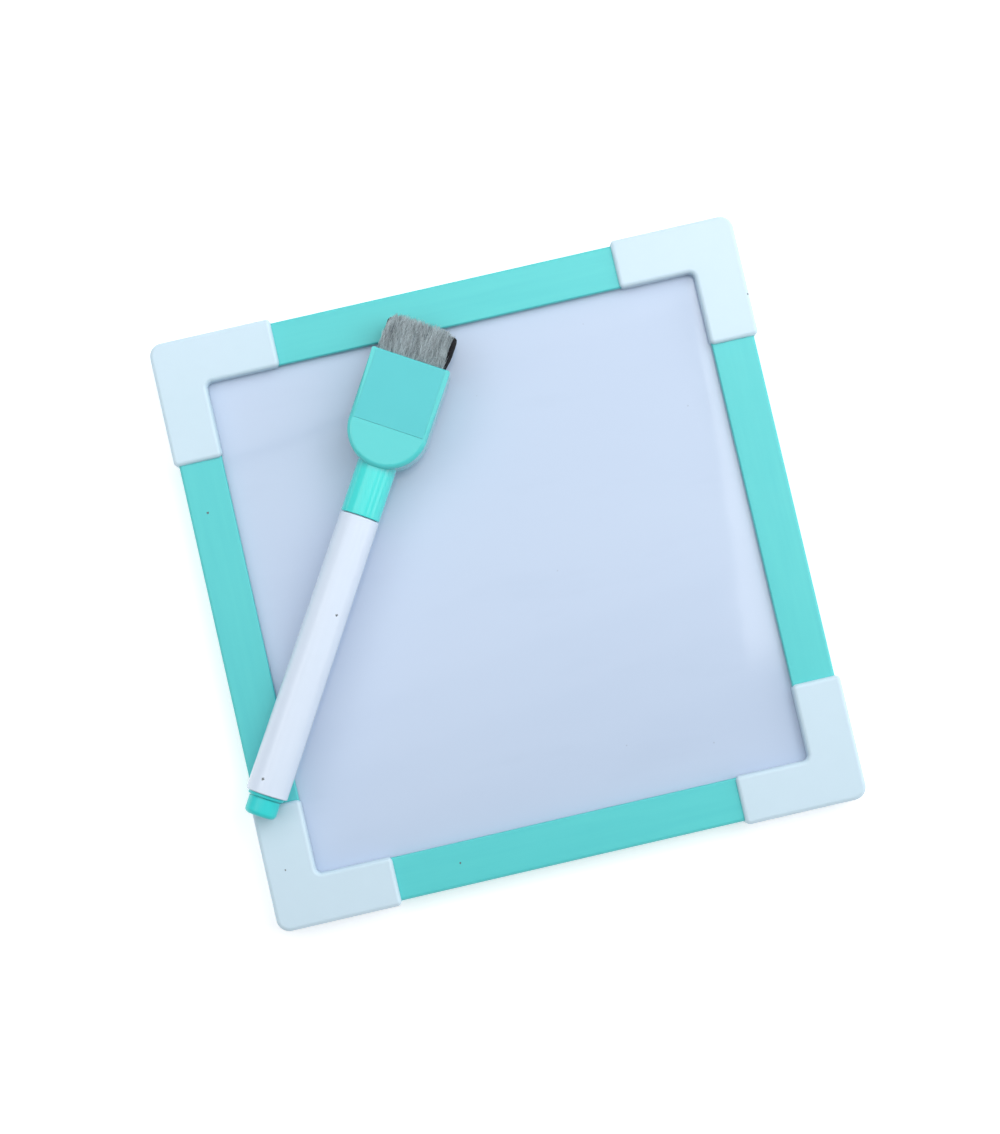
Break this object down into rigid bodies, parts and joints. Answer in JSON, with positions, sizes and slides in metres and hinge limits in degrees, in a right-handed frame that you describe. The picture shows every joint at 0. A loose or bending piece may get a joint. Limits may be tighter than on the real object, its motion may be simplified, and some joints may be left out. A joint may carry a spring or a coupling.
{
  "type": "framed dry-erase board with marker",
  "caption": "Small square dry-erase board in a plastic frame with corner caps, and a marker whose paddle-shaped cap holds an eraser.",
  "frame": {"origin": "centre of the board in plan, at the level of the corner caps' undersides", "axes": "+Z out of the writing face, +Y towards the top rail, +X to the right of someone facing the writing side"},
  "size_m": [0.181, 0.18, 0.0233],
  "materials": {
    "writing_surface": "glossy white film",
    "core": "pressed hardboard",
    "back": "matt white film",
    "rail": "satin mint extrusion",
    "corner": "smooth pale blue-white moulding",
    "barrel": "glossy white",
    "plug": "glossy mint",
    "ink_fibre": "ink-soaked fibre",
    "nib": "felt",
    "cap": "satin mint moulding",
    "magnet": "plated",
    "seal": "soft translucent liner",
    "foam": "black foam",
    "pile": "grey brushed pile"
  },
  "bodies": {
    "board": {"dry_erase_sheet": "writing_surface", "core_board": "core", "back_sheet": "back", "rail_top": "rail", "rail_bottom": "rail", "rail_left": "rail", "rail_right": "rail", "corner_cap_top_right": "corner", "corner_cap_top_left": "corner", "corner_cap_bottom_left": "corner", "corner_cap_bottom_right": "corner"},
    "marker": {"marker_barrel": "barrel", "end_plug": "plug", "ink_reservoir": "ink_fibre", "nib_holder": "barrel", "writing_nib": "nib"},
    "marker_cap": {"cap_body": "cap", "cap_plate": "cap", "cap_magnet": "magnet", "cap_seal": "seal", "eraser_core": "foam", "eraser_pile": "pile"}
  },
  "joints": [
    {"name": "marker_lift", "type": "slide", "parent": "board", "child": "marker", "axis": [0, 0, 1], "range_m": [0, 0.1]},
    {"name": "cap_pull", "type": "slide", "parent": "marker", "child": "marker_cap", "axis": [0.5203, 0.854, 0], "range_m": [0, 0.045]}
  ]
}
